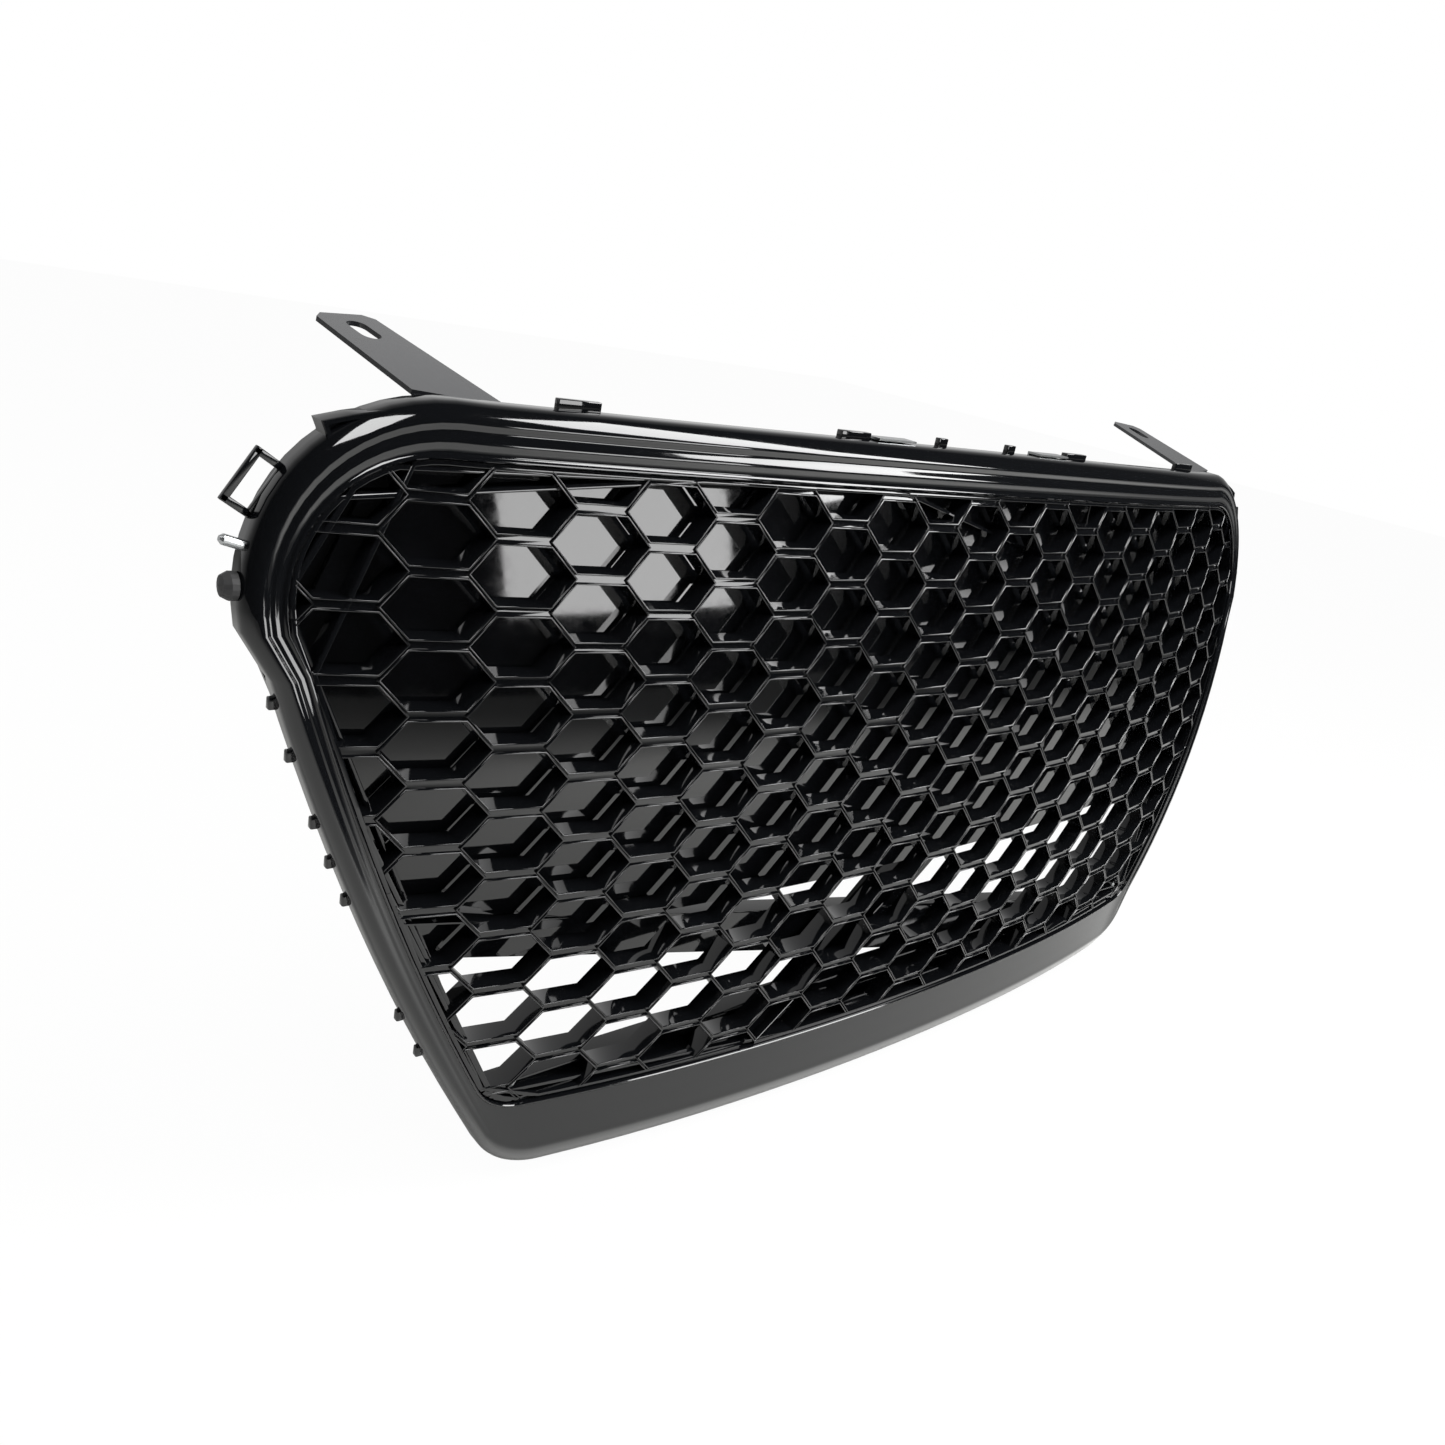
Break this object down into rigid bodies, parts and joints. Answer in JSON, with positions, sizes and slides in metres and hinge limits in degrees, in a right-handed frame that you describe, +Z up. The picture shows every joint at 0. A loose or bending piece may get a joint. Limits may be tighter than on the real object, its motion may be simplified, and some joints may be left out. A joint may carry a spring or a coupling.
{
  "type": "front grille",
  "caption": "Bowed car front grille with a rounded trapezoid frame, honeycomb mesh, a blanking plate behind the upper rows and slotted support brackets.",
  "frame": {"origin": "centre of the bounding box of the whole grille", "axes": "+X across the car towards the side that is right when the grille is seen from the front, +Y back into the car, +Z up"},
  "size_m": [0.9098, 0.1872, 0.443],
  "materials": {
    "gloss_black_plastic": "high gloss, moulded in black",
    "coated_steel": "smooth black coating with a soft shine",
    "zinc_plated_steel": "zinc plated, slightly dull",
    "black_rubber": "matt moulded rubber"
  },
  "bodies": {
    "root": {"frame": "gloss_black_plastic", "honeycomb_insert": "gloss_black_plastic", "blanking_plate": "gloss_black_plastic", "left_bracket": "coated_steel", "right_bracket": "coated_steel", "frame_screw_1": "zinc_plated_steel", "frame_screw_2": "zinc_plated_steel", "frame_screw_3": "zinc_plated_steel", "frame_screw_4": "zinc_plated_steel", "frame_screw_5": "zinc_plated_steel", "frame_screw_6": "zinc_plated_steel", "frame_screw_7": "zinc_plated_steel", "frame_screw_8": "zinc_plated_steel", "frame_screw_9": "zinc_plated_steel", "frame_screw_10": "zinc_plated_steel", "frame_screw_11": "zinc_plated_steel", "frame_screw_12": "zinc_plated_steel", "plate_screw_1": "zinc_plated_steel", "plate_screw_2": "zinc_plated_steel", "plate_screw_3": "zinc_plated_steel", "plate_screw_4": "zinc_plated_steel", "plate_screw_5": "zinc_plated_steel", "plate_screw_6": "zinc_plated_steel", "bracket_screw_1": "zinc_plated_steel", "bracket_screw_2": "zinc_plated_steel", "bracket_screw_3": "zinc_plated_steel", "bracket_screw_4": "zinc_plated_steel", "left_corner_screw": "zinc_plated_steel", "left_spring_clip": "zinc_plated_steel", "left_locating_pin": "zinc_plated_steel", "left_rubber_stop": "black_rubber", "right_corner_screw": "zinc_plated_steel", "right_spring_clip": "zinc_plated_steel", "right_locating_pin": "zinc_plated_steel", "right_rubber_stop": "black_rubber"}
  },
  "joints": []
}
